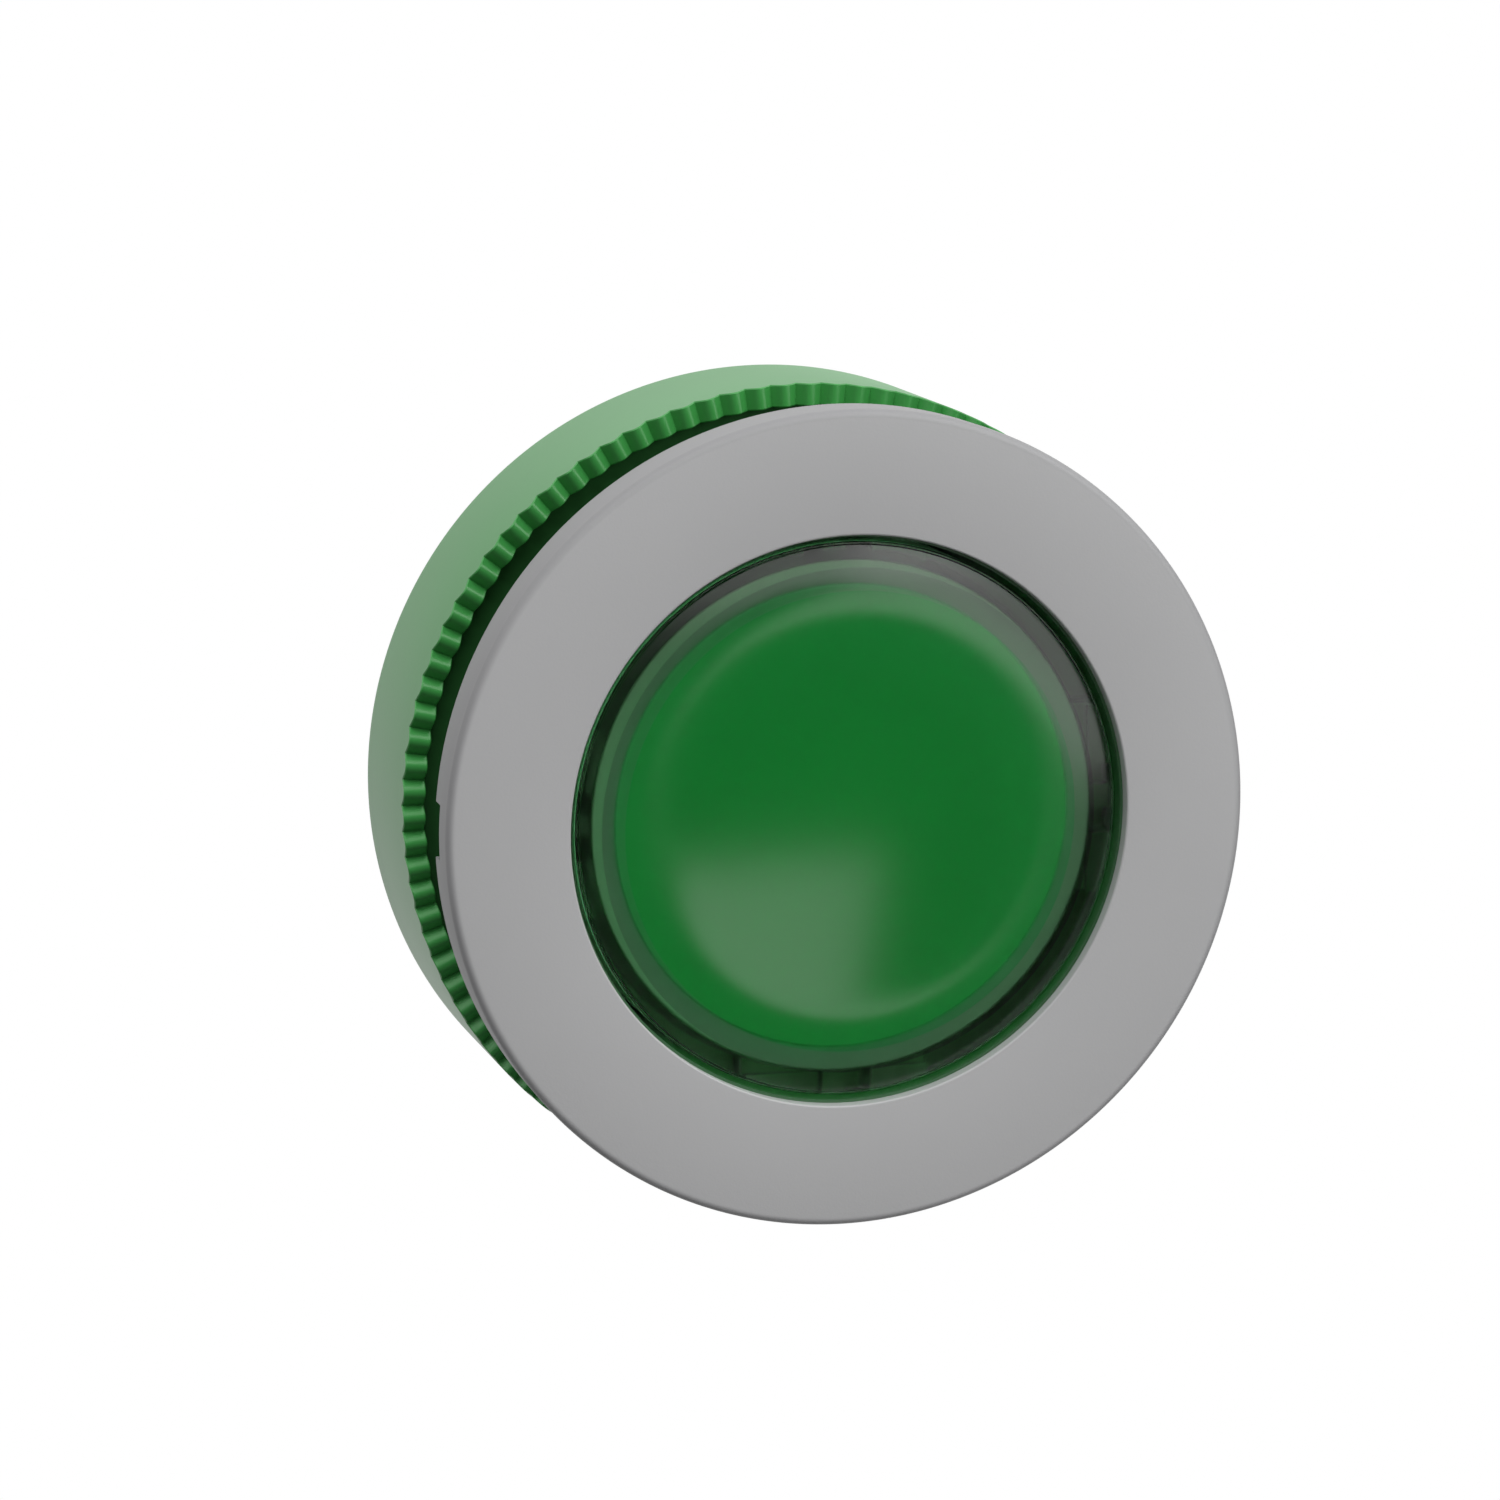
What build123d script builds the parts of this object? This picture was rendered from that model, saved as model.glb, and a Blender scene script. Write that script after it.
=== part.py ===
from build123d import *
from math import cos, pi, sin, sqrt
import os

# Illuminated push button for a 30.5 mm panel hole. Millimetres.
# The pieces are drawn standing up: the axis is Z, the front is up, and height 0 is the
# front face of the panel. They are laid over at the end, so that the front faces -Y.

# Clearances
fit_gap = 0.05
running_gap = 0.08
slide_gap = 0.2
touch_gap = 0.02

# Barrel, the driving size: it passes through the panel hole
barrel_radius = 15.0
barrel_front_wall = 2.2
barrel_rear_wall = 1.8
barrel_end_round = 0.6
flange_thickness = 1.3
collar_wall = 0.75
floor_depth = 9.0
floor_thickness = 2.6
key_width = 4.6
key_reach = 1.4
key_length = 2.4
key_root = 1.0
thread_pitch = 1.5
thread_depth = 0.62
thread_crest = 0.18
thread_runout = 1.2

# Bezel and gasket
bezel_overhang = 3.5
bezel_face_wall = 1.3
bezel_lip_wall = 0.58
bezel_lip_round = 0.1
bezel_front_round = 0.3
bezel_rear_round = 0.1
bezel_rim_wall = 1.2
bezel_rim_draft = 0.05
pry_notch_width = 2.5
pry_notch_depth = 1.0
pry_notch_angle = 185.0
gasket_thickness = 0.8
gasket_edge_round = 0.25

# Fixing nut
panel_gap = 4.25
nut_height = 8.55
nut_thread_length = 4.5
nut_shell = 3.74
nut_draft = 0.3
nut_rear_round = 0.8
nut_wall = 1.7
nut_edge_round = 0.3
nut_cup_round = 0.6
nut_recess_step = 0.5
tooth_count = 98
tooth_depth = 0.45
tooth_length = 1.02
tooth_phase = 2.8
tooth_overrun = 0.3
tooth_section = ((0.0, 1.0), (0.63, 0.17), (0.9, 0.0))

# Lens and what lies under it
lens_recess = 1.55
lens_wall = 1.8
lens_skirt_wall = 1.15
lens_skirt_length = 3.85
lens_bevel_width = 1.2
lens_bevel_drop = 0.45
lens_rim_width = 1.65
dish_depth = 0.9
bead_height = 0.2
bead_width = 0.5
bead_round = 0.5
bead_foot_round = 0.3
bevel_round = 0.5
lens_edge_round = 0.2
finger_count = 4
finger_width = 3.1
finger_slot_width = 2.6
finger_slot_rise = 0.8
finger_window = 1.05
finger_length = 1.35
barb_reach = 0.55
barb_height = 0.75
barb_face = 0.25
diffuser_thickness = 1.0
diffuser_ledge = 1.1
diffuser_round = 0.15
travel = 3.0

# Lens carrier
carrier_flange_reach = 2.45
carrier_wall = 1.2
carrier_flange_thickness = 1.5
carrier_tail = 1.7
carrier_bore_round = 0.5
carrier_round = 0.3
carrier_edge_round = 0.2

# Seal, washer, return spring and clip on the carrier
seal_width = 1.9
seal_height = 1.2
seal_lip_height = 0.6
seal_lip_reach = 0.5
seal_round = 0.2
washer_thickness = 0.4
washer_bore_gap = 0.3
washer_rim_gap = 0.5
spring_room = 1.0
spring_wire = 0.55
spring_turns = 4.5
clip_thickness = 0.7
clip_depth = 0.5
clip_reach = 1.3
clip_opening = 50.0

# Contact yoke and bridges
yoke_ring_thickness = 0.9
yoke_lip_height = 1.4
yoke_lip_wall = 0.5
yoke_leg_width = 3.8
yoke_leg_depth = 3.4
yoke_leg_round = 0.4
yoke_leg_wall = 0.8
yoke_leg_gap = 0.1
yoke_leg_room = 0.5
yoke_round = 0.2
window_front_wall = 1.2
bridge_width = 1.9
bridge_thickness = 0.5
bridge_shoulder_gap = 0.2
tip_radius = 0.8
tip_height = 0.5
tip_setback = 0.9
overtravel = 0.6
contact_spring_radius = 0.55
contact_spring_wire = 0.2
no_spring_turns = 5.0
nc_spring_turns = 3.0
nc_spring_length = 1.84

# Fixed contacts and terminal tabs
strip_thickness = 0.6
strip_width = 1.9
strip_wall_gap = 0.3
riser_gap = 0.8
nc_strip_gap = 0.28
tab_width = 2.8
tab_length = 5.5
tab_taper_width = 0.6
tab_taper_length = 1.0
tab_hole_radius = 0.6
tab_hole_setback = 1.9

# Contact housing, its seal and its bayonet lugs
spigot_clearance = 0.1
spigot_front_gap = 0.8
spigot_round = 0.3
ring_groove_setback = 0.9
ring_groove_depth = 0.8
ring_groove_width = 1.3
ring_round = 0.35
housing_wall = 1.35
housing_step = 0.1
shoulder_setback = 0.6
shoulder_thickness = 1.4
shoulder_round = 0.4
lug_groove_gap = 0.5
lug_setback = 3.4
lug_reach = 1.4
lug_height = 1.5
lug_width = 18.0
lug_turn = 32.0
lug_side_gap = 1.0
lug_rooting = 0.3

# Terminal plate and screws
plate_step = 0.4
plate_thickness = 2.1
plate_round = 0.6
rib_height = 2.4
rib_thickness = 0.8
rib_offset = 4.5
rib_end_gap = 2.6
rib_round = 1.2
screw_edge_gap = 2.9
screw_radius = 1.0
screw_head_radius = 1.8
screw_head_gap = 0.2
screw_head_height = 1.1
screw_head_sink = 0.1
screw_head_round = 0.3
screw_length = 4.5
screw_point = 0.3
driver_slot_width = 0.5
driver_slot_depth = 0.5
boss_radius = 2.0
boss_height = 5.0

# Lamp
lamp_post_room = 1.6
lamp_post_wall = 1.0
lamp_post_round = 0.3
board_depth = 12.0
board_thickness = 1.0
led_radius = 2.5
led_rim_reach = 0.4
led_rim_height = 0.6
led_rim_round = 0.1
led_body_height = 2.0
lamp_tab_inset = 1.0
lamp_tab_width = 2.0

# Radii, worked out from the sizes above
opening_radius = barrel_radius - barrel_front_wall
rear_bore_radius = barrel_radius - barrel_rear_wall
collar_radius = opening_radius + collar_wall
key_radius = barrel_radius + key_reach
bezel_radius = barrel_radius + bezel_overhang
rim_inner_radius = bezel_radius - bezel_rim_wall
flange_radius = rim_inner_radius - fit_gap
lens_radius = opening_radius - slide_gap
skirt_inner_radius = lens_radius - lens_skirt_wall
bevel_radius = lens_radius - lens_bevel_width
bead_foot_radius = bevel_radius - lens_rim_width
dish_radius = bead_foot_radius - bead_width
barb_radius = skirt_inner_radius - barb_reach
diffuser_radius = skirt_inner_radius - diffuser_ledge
carrier_radius = skirt_inner_radius - carrier_flange_reach
guide_radius = carrier_radius + running_gap
carrier_bore_radius = carrier_radius - carrier_wall
clip_groove_radius = carrier_radius - clip_depth
clip_radius = carrier_radius + clip_reach
seal_pocket_radius = carrier_radius + seal_width
spigot_radius = rear_bore_radius - spigot_clearance
housing_inner_radius = spigot_radius - housing_wall
housing_radius = spigot_radius - housing_step
plate_radius = housing_radius - plate_step
screw_offset = plate_radius - screw_edge_gap
lamp_post_radius = carrier_bore_radius - lamp_post_room
post_bore_radius = lamp_post_radius - lamp_post_wall
lamp_tab_offset = post_bore_radius - lamp_tab_inset
contact_offset = lamp_post_radius + yoke_leg_room + yoke_leg_depth / 2

# Heights from the panel forwards
flange_back = gasket_thickness
flange_front = flange_back + flange_thickness
bezel_face = flange_front + bezel_face_wall
lip_back = bezel_face - bezel_lip_wall
lens_top = bezel_face - lens_recess
lens_ceiling = lens_top - lens_wall
skirt_end = lens_top - lens_skirt_length
finger_end = skirt_end - finger_length
diffuser_top = lens_ceiling - fit_gap
flange_seat = diffuser_top - diffuser_thickness
carrier_flange_back = flange_seat - carrier_flange_thickness

# Heights from the barrel's floor backwards
floor_top = -floor_depth
floor_back = floor_top - floor_thickness
washer_top = floor_top + washer_thickness
clip_top = floor_back - fit_gap
clip_back = clip_top - clip_thickness
carrier_end = floor_back - carrier_tail
spigot_front = floor_back - spigot_front_gap
groove_front = spigot_front - ring_groove_setback
groove_back = groove_front - ring_groove_width
lug_front = groove_back - lug_groove_gap
lug_back = lug_front - lug_height
barrel_end = lug_front - lug_setback
shoulder_back = barrel_end - shoulder_thickness

# Heights of the contacts: the closed pair follows the pressed yoke, the open pair the travel
yoke_front = carrier_end - touch_gap
yoke_ring_back = yoke_front - yoke_ring_thickness
window_front = yoke_ring_back - window_front_wall
nc_strip_front = yoke_ring_back - travel - nc_strip_gap
nc_strip_back = nc_strip_front - strip_thickness
nc_bridge_front = nc_strip_back - 2 * tip_height - touch_gap
nc_bridge_back = nc_bridge_front - bridge_thickness
nc_window_front = nc_bridge_front + overtravel
window_back = nc_bridge_back - nc_spring_length - 2 * touch_gap
no_bridge_back = window_back + touch_gap
no_fixed_tip = no_bridge_back - tip_height - touch_gap - travel + overtravel
housing_end = no_fixed_tip - tip_height - strip_thickness
yoke_leg_end = housing_end + travel + yoke_leg_gap
plate_back = housing_end - plate_thickness
board_front = -board_depth
board_back = board_front - board_thickness

# Places across the contacts: the strips stand just inside the housing's wall
strip_corner = contact_offset + strip_width / 2
strip_reach = sqrt((housing_inner_radius - strip_wall_gap) ** 2 - strip_corner**2)
riser_offset = strip_reach - strip_thickness / 2
bridge_half_length = riser_offset - strip_thickness / 2 - riser_gap
tip_offset = bridge_half_length - tip_setback


def turned(*corners):
    """Solid turned about the axis; each corner is radius, height and corner round."""
    points = [(radius, 0, height) for radius, height, _ in corners]
    rounds = [corner_round for _, _, corner_round in corners]
    outline = FilletPolyline(*points, radius=rounds, close=True)
    return revolve(make_face(outline), Axis.Z)


def tube(inner_radius, outer_radius, low, high):
    """Plain ring between two heights."""
    return turned(
        (inner_radius, low, 0),
        (outer_radius, low, 0),
        (outer_radius, high, 0),
        (inner_radius, high, 0),
    )


def rod(radius, low, high):
    """Cylinder on the axis between two heights."""
    return Pos(0, 0, (low + high) / 2) * Cylinder(radius, high - low)


def block(x, y, z):
    """Rectangular solid from its two limits along each axis."""
    sizes = [abs(end - start) for start, end in (x, y, z)]
    middle = [(start + end) / 2 for start, end in (x, y, z)]
    return Pos(*middle) * Box(*sizes)


def sector(inner_radius, outer_radius, low, high, start, sweep_angle):
    """Part of a ring that begins at one angle and runs anticlockwise."""
    middle = ((inner_radius + outer_radius) / 2, 0, (low + high) / 2)
    face = Plane.XZ * Rectangle(outer_radius - inner_radius, high - low)
    face = Pos(*middle) * face
    return Rot(0, 0, start) * revolve(face, Axis.Z, revolution_arc=sweep_angle)


def coil(wire, radius, turns, low, high):
    """Round wire wound into a helix that fills the height between two seats."""
    height = high - low - wire
    path = Helix(pitch=height / turns, height=height, radius=radius)
    start = Plane(origin=path @ 0, z_dir=path % 0)
    wound = sweep(start * Circle(wire / 2), path=path)
    return Pos(0, 0, low + wire / 2) * wound


# Bezel: face plate, rim that drops over the barrel's flange, and the pry notch
bezel_ring = turned(
    (opening_radius, bezel_face, bezel_lip_round),
    (bezel_radius, bezel_face, bezel_front_round),
    (bezel_radius - bezel_rim_draft, flange_back, bezel_rear_round),
    (rim_inner_radius, flange_back, 0),
    (rim_inner_radius, flange_front, 0),
    (collar_radius + fit_gap, flange_front, 0),
    (collar_radius + fit_gap, lip_back, 0),
    (opening_radius, lip_back, 0),
)
pry_notch = block(
    (rim_inner_radius - bezel_rim_wall, bezel_radius + bezel_rim_wall),
    (-pry_notch_width / 2, pry_notch_width / 2),
    (flange_back - pry_notch_depth, flange_back + pry_notch_depth),
)
bezel_ring -= Rot(0, 0, pry_notch_angle) * pry_notch

# Gasket under the flange, notched where the barrel's key passes through it
panel_gasket = turned(
    (barrel_radius + fit_gap, 0, 0),
    (flange_radius, 0, gasket_edge_round),
    (flange_radius, gasket_thickness, 0),
    (barrel_radius + fit_gap, gasket_thickness, 0),
)
panel_gasket -= block(
    (-key_width / 2 - fit_gap, key_width / 2 + fit_gap),
    (0, key_radius + fit_gap),
    (-gasket_thickness, 2 * gasket_thickness),
)

# Barrel: flange and guide collar in front, coarse thread with a key in front of it, floor
# with a seal pocket, bayonet slots behind
seal_pocket_back = floor_top - seal_height
barrel = turned(
    (opening_radius, lip_back, 0),
    (collar_radius, lip_back, 0),
    (collar_radius, flange_front, 0),
    (flange_radius, flange_front, 0),
    (flange_radius, flange_back, 0),
    (barrel_radius, flange_back, 0),
    (barrel_radius, barrel_end, barrel_end_round),
    (rear_bore_radius, barrel_end, 0),
    (rear_bore_radius, floor_back, 0.4),
    (guide_radius, floor_back, 0),
    (guide_radius, seal_pocket_back, 0),
    (seal_pocket_radius, seal_pocket_back, 0),
    (seal_pocket_radius, floor_top, 0),
    (opening_radius, floor_top, 0.4),
)
thread_root_radius = barrel_radius - thread_depth
thread_rise = thread_depth + fit_gap
groove_root = thread_crest / 2
groove_mouth = groove_root + (thread_pitch / 2 - thread_crest) * thread_rise / thread_depth
thread_groove = make_face(Polyline(
    (thread_root_radius, 0, -groove_root),
    (thread_root_radius + thread_rise, 0, -groove_mouth),
    (thread_root_radius + thread_rise, 0, groove_mouth),
    (thread_root_radius, 0, groove_root),
    close=True,
))
thread_height = thread_pitch - thread_runout - barrel_end
thread_path = Helix(pitch=thread_pitch, height=thread_height, radius=barrel_radius)
thread_cut = sweep(thread_groove, path=thread_path, is_frenet=True)
barrel -= Pos(0, 0, barrel_end - thread_pitch) * thread_cut
barrel += block(
    (-key_width / 2, key_width / 2),
    (barrel_radius - key_root, key_radius),
    (-key_length, flange_back),
)
slot_inside = rear_bore_radius - barrel_rear_wall / 2
slot_outside = barrel_radius + barrel_rear_wall / 2
for side in (0, 180):
    way_in = sector(
        slot_inside,
        slot_outside,
        barrel_end - lug_height,
        lug_front + slide_gap,
        side - lug_side_gap,
        lug_width + 2 * lug_side_gap,
    )
    way_round = sector(
        slot_inside,
        slot_outside,
        lug_back - touch_gap,
        lug_front + slide_gap,
        side - lug_side_gap,
        lug_turn + lug_width + 2 * lug_side_gap,
    )
    barrel -= way_in
    barrel -= way_round

# Fixing nut: hollow cup, threaded in front, whose serrated face grips the back of the panel
nut_front = -panel_gap
nut_back = nut_front - nut_height
teeth_back = nut_front - tooth_depth
nut_recess = teeth_back - nut_recess_step
thread_back = nut_recess - nut_thread_length
nut_bore_radius = barrel_radius + fit_gap
nut_radius = barrel_radius + nut_shell
teeth_inner_radius = nut_radius - tooth_length
cup_radius = nut_radius - nut_wall
fixing_nut = turned(
    (nut_bore_radius, nut_recess, nut_edge_round),
    (teeth_inner_radius, nut_recess, 0),
    (teeth_inner_radius, nut_front, 0),
    (nut_radius, nut_front, 0),
    (nut_radius, nut_back, nut_rear_round),
    (cup_radius, nut_back, nut_edge_round),
    (cup_radius - nut_draft, thread_back, nut_cup_round),
    (nut_bore_radius, thread_back, nut_edge_round),
)


def gap_section(radius):
    """Section of the gap between two crests, which widens with the radius."""
    half_pitch = pi * radius / tooth_count
    right = [(share * half_pitch, -drop * tooth_depth) for share, drop in tooth_section]
    left = [(-across, height) for across, height in right[:0:-1]]
    face = make_face(Polyline(*right, *left, close=True))
    return Plane(origin=(radius, 0, nut_front), x_dir=(0, 1, 0), z_dir=(1, 0, 0)) * face


tooth_gap = loft(
    [gap_section(teeth_inner_radius - tooth_overrun), gap_section(nut_radius + tooth_overrun)],
    ruled=True,
)
tooth_places = [Rot(0, 0, tooth_phase + 360 / tooth_count * tooth) for tooth in range(tooth_count)]
fixing_nut -= [place * tooth_gap for place in tooth_places]

# Lens: dished pad with a soft bead, bevelled edge, skirt with snap fingers
dish_edge = Vector(dish_radius, 0, lens_top + bead_height)
dish_low = Vector(0, 0, lens_top - dish_depth)
dish_rise = dish_edge.Z - dish_low.Z
dish_curve = (dish_radius**2 + dish_rise**2) / (2 * dish_rise)
half_way = dish_radius / 2
dish_middle = dish_curve - sqrt(dish_curve**2 - half_way**2)
dish = ThreePointArc(dish_low, (half_way, 0, dish_low.Z + dish_middle), dish_edge)
diffuser_seat_radius = diffuser_radius + fit_gap
ledge_back = flange_seat + fit_gap
barb_front = carrier_flange_back - fit_gap
lens_side = [
    dish_edge,
    (bead_foot_radius, 0, lens_top),
    (bevel_radius, 0, lens_top),
    (lens_radius, 0, lens_top - lens_bevel_drop),
    (lens_radius, 0, finger_end),
    (skirt_inner_radius, 0, finger_end),
    (skirt_inner_radius, 0, barb_front - barb_height),
    (barb_radius, 0, barb_front - barb_face),
    (barb_radius, 0, barb_front),
    (skirt_inner_radius, 0, barb_front),
    (skirt_inner_radius, 0, ledge_back),
    (diffuser_seat_radius, 0, ledge_back),
    (diffuser_seat_radius, 0, lens_ceiling),
    (0, 0, lens_ceiling),
    dish_low,
]
lens_section = make_face([dish] + Polyline(*lens_side).edges())
lens_rounds = (bead_round, bead_foot_round, bevel_round, lens_edge_round)
for corner, corner_round in zip(lens_side, lens_rounds):
    nearest = lens_section.vertices().sort_by_distance(corner)[0]
    lens_section = fillet(nearest, corner_round)
lens_cap = revolve(lens_section, Axis.Z)
half_finger = finger_width / 2
finger_slot = half_finger + finger_slot_width
well_inside = barb_radius - lens_skirt_wall
well_outside = lens_radius + lens_skirt_wall
well_back = finger_end - finger_length
between_fingers = tube(well_inside, well_outside, well_back, skirt_end)
finger_cuts = []
for finger in range(finger_count):
    turn = Rot(0, 0, 360 / finger_count * finger - 90)
    between_fingers -= turn * block(
        (0, well_outside + lens_skirt_wall),
        (-half_finger, half_finger),
        (well_back - finger_length, skirt_end + finger_length),
    )
    for near, far in ((-finger_slot, -half_finger), (half_finger, finger_slot)):
        slot = block(
            (well_inside, well_outside),
            (near, far),
            (well_back, ledge_back + finger_slot_rise),
        )
        finger_cuts.append(turn * slot)
    window = block(
        (skirt_inner_radius - fit_gap, well_outside),
        (-finger_window / 2, finger_window / 2),
        (skirt_end, flange_seat),
    )
    finger_cuts.append(turn * window)
lens_cap -= between_fingers
for cut in finger_cuts:
    lens_cap -= cut

# Diffuser: opal disc held between the lens and the carrier's flange
diffuser = turned(
    (0, flange_seat, 0),
    (diffuser_radius, flange_seat, diffuser_round),
    (diffuser_radius, diffuser_top, diffuser_round),
    (0, diffuser_top, 0),
)

# Lens carrier: flange under the lens and a tube that runs in the barrel's floor
carrier_flange_radius = skirt_inner_radius - fit_gap
lens_carrier = turned(
    (carrier_bore_radius, flange_seat, carrier_bore_round),
    (carrier_flange_radius, flange_seat, carrier_edge_round),
    (carrier_flange_radius, carrier_flange_back, 0),
    (carrier_radius, carrier_flange_back, carrier_round),
    (carrier_radius, carrier_end, carrier_round),
    (carrier_bore_radius, carrier_end, 0),
)
lens_carrier -= tube(clip_groove_radius, carrier_radius + clip_depth, clip_back, clip_top)

# Lip seal in the floor's pocket
seal_front = floor_top - fit_gap
seal_back = seal_pocket_back + fit_gap
seal_middle = (seal_front + seal_back) / 2
seal_lip_radius = carrier_radius + fit_gap
pusher_seal = turned(
    (seal_lip_radius, seal_middle - seal_lip_height / 2, 0),
    (seal_lip_radius + seal_lip_reach, seal_back, 0),
    (seal_pocket_radius - fit_gap, seal_back, seal_round),
    (seal_pocket_radius - fit_gap, seal_front, seal_round),
    (seal_lip_radius + seal_lip_reach, seal_front, 0),
    (seal_lip_radius, seal_middle + seal_lip_height / 2, 0),
)

# Return spring on its washer, and the open clip that stops the carrier under the floor
spring_washer = tube(
    carrier_radius + washer_bore_gap,
    opening_radius - washer_rim_gap,
    floor_top,
    washer_top,
)
return_spring = coil(
    spring_wire,
    carrier_radius + spring_room,
    spring_turns,
    washer_top + touch_gap,
    carrier_flange_back - touch_gap,
)
retaining_clip = tube(
    clip_groove_radius + fit_gap,
    clip_radius,
    clip_back + touch_gap,
    clip_top - touch_gap,
)
retaining_clip -= sector(
    clip_groove_radius - clip_depth,
    clip_radius + clip_depth,
    clip_back - clip_thickness,
    clip_top + clip_thickness,
    90 - clip_opening / 2,
    clip_opening,
)

# Yoke: ring on the carrier's tail with a windowed leg for each contact bridge
yoke_lip_radius = carrier_bore_radius - fit_gap
yoke_bore_radius = yoke_lip_radius - yoke_lip_wall
yoke_lip_front = yoke_front + yoke_lip_height
contact_yoke = turned(
    (yoke_bore_radius, yoke_ring_back, yoke_round),
    (clip_radius, yoke_ring_back, yoke_round),
    (clip_radius, yoke_front, 0),
    (yoke_lip_radius, yoke_front, 0),
    (yoke_lip_radius, yoke_lip_front, yoke_lip_wall / 4),
    (yoke_bore_radius, yoke_lip_front, yoke_lip_wall / 4),
)
half_leg_width = yoke_leg_width / 2
half_leg_depth = yoke_leg_depth / 2
half_window = half_leg_depth - yoke_leg_wall
for side, window_limit in ((1, window_front), (-1, nc_window_front)):
    centre = side * contact_offset
    leg = block(
        (centre - half_leg_depth, centre + half_leg_depth),
        (-half_leg_width, half_leg_width),
        (yoke_leg_end, yoke_ring_back + yoke_ring_thickness / 2),
    )
    leg = fillet(leg.edges().filter_by(Axis.Z), yoke_leg_round)
    contact_yoke += leg
    contact_yoke -= block(
        (centre - half_window, centre + half_window),
        (-yoke_leg_width, yoke_leg_width),
        (window_back, window_limit),
    )


def bridge(centre, back, tip_side):
    """Contact bridge with two silver tips, narrow where it passes through the yoke's window."""
    front = back + bridge_thickness
    tip_face = front if tip_side > 0 else back
    half_waist = half_window - running_gap
    shoulder = half_leg_width + bridge_shoulder_gap
    piece = block((centre - half_waist, centre + half_waist), (-shoulder, shoulder), (back, front))
    for end in (-1, 1):
        piece += block(
            (centre - bridge_width / 2, centre + bridge_width / 2),
            (end * shoulder, end * bridge_half_length),
            (back, front),
        )
        tip = Cylinder(tip_radius, tip_height)
        piece += Pos(centre, end * tip_offset, tip_face + tip_side * tip_height / 2) * tip
    return piece


contact_bridge_no = bridge(contact_offset, no_bridge_back, -1)
contact_bridge_nc = bridge(-contact_offset, nc_bridge_back, 1)
contact_spring_no = Pos(contact_offset, 0, 0) * coil(
    contact_spring_wire,
    contact_spring_radius,
    no_spring_turns,
    no_bridge_back + bridge_thickness + touch_gap,
    window_front - touch_gap,
)
contact_spring_nc = Pos(-contact_offset, 0, 0) * coil(
    contact_spring_wire,
    contact_spring_radius,
    nc_spring_turns,
    window_back + touch_gap,
    nc_bridge_back - touch_gap,
)

# Contact housing: spigot with a ring groove and bayonet lugs, shoulder, screw bosses
groove_radius = spigot_radius - ring_groove_depth
shoulder_radius = barrel_radius - shoulder_setback
contact_housing = turned(
    (housing_inner_radius, spigot_front, 0),
    (spigot_radius, spigot_front, spigot_round),
    (spigot_radius, groove_front, 0),
    (groove_radius, groove_front, 0),
    (groove_radius, groove_back, 0),
    (spigot_radius, groove_back, 0),
    (spigot_radius, barrel_end, 0),
    (shoulder_radius, barrel_end, 0),
    (shoulder_radius, shoulder_back, shoulder_round),
    (housing_radius, shoulder_back, 0),
    (housing_radius, housing_end, 0),
    (housing_inner_radius, housing_end, 0),
)
boss_front = housing_end + boss_height
boss_limit = rod(housing_inner_radius + lug_rooting, housing_end, boss_front)
for side in (0, 180):
    contact_housing += sector(
        spigot_radius - lug_rooting,
        spigot_radius + lug_reach,
        lug_back,
        lug_front,
        side + lug_turn,
        lug_width,
    )
for side in (-1, 1):
    centre = side * screw_offset
    boss = Pos(0, centre, housing_end + boss_height / 2) * Cylinder(boss_radius, boss_height)
    boss += block(
        (-boss_radius, boss_radius),
        (centre, side * housing_radius),
        (housing_end, boss_front),
    )
    contact_housing += boss & boss_limit
    contact_housing -= Pos(0, centre, housing_end) * Cylinder(screw_radius, 2 * screw_length)

# Ring seal in the spigot's groove
ring_inner_radius = groove_radius + fit_gap
ring_outer_radius = rear_bore_radius - fit_gap
housing_seal = turned(
    (ring_inner_radius, groove_back + fit_gap, ring_round),
    (ring_outer_radius, groove_back + fit_gap, ring_round),
    (ring_outer_radius, groove_front - fit_gap, ring_round),
    (ring_inner_radius, groove_front - fit_gap, ring_round),
)

# Terminal plate: closes the housing, with barrier ribs between the rows of tabs
terminal_plate = turned(
    (0, housing_end, 0),
    (plate_radius, housing_end, 0),
    (plate_radius, plate_back, plate_round),
    (0, plate_back, 0),
)
rib_reach = sqrt(plate_radius**2 - rib_offset**2) - rib_end_gap
seat_radius = screw_head_radius + screw_head_gap
for side in (-1, 1):
    rib = block(
        (side * rib_offset - rib_thickness / 2, side * rib_offset + rib_thickness / 2),
        (-rib_reach, rib_reach),
        (plate_back - rib_height, plate_back + plate_thickness / 2),
    )
    terminal_plate += fillet(rib.edges().filter_by(Axis.X).group_by(Axis.Z)[0], rib_round)
    centre = side * screw_offset
    terminal_plate -= Pos(0, centre, plate_back) * Cylinder(seat_radius, 2 * screw_head_height)
    terminal_plate -= Pos(0, centre, plate_back) * Cylinder(screw_radius, 3 * plate_thickness)


def tab(x, y, top, width):
    """Flat terminal tab through the plate, tapered at its end, with a wire hole."""
    end = plate_back - tab_length
    half = width / 2
    outline = Polyline(
        (-half, top),
        (-half, end + tab_taper_length),
        (-half + tab_taper_width, end),
        (half - tab_taper_width, end),
        (half, end + tab_taper_length),
        (half, top),
        close=True,
    )
    blade = extrude(Plane.XZ * make_face(outline), strip_thickness / 2, both=True)
    wire_hole = Rot(90, 0, 0) * Cylinder(tab_hole_radius, 2 * strip_thickness)
    return Pos(x, y, 0) * (blade - Pos(0, 0, end + tab_hole_setback) * wire_hole)


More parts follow.
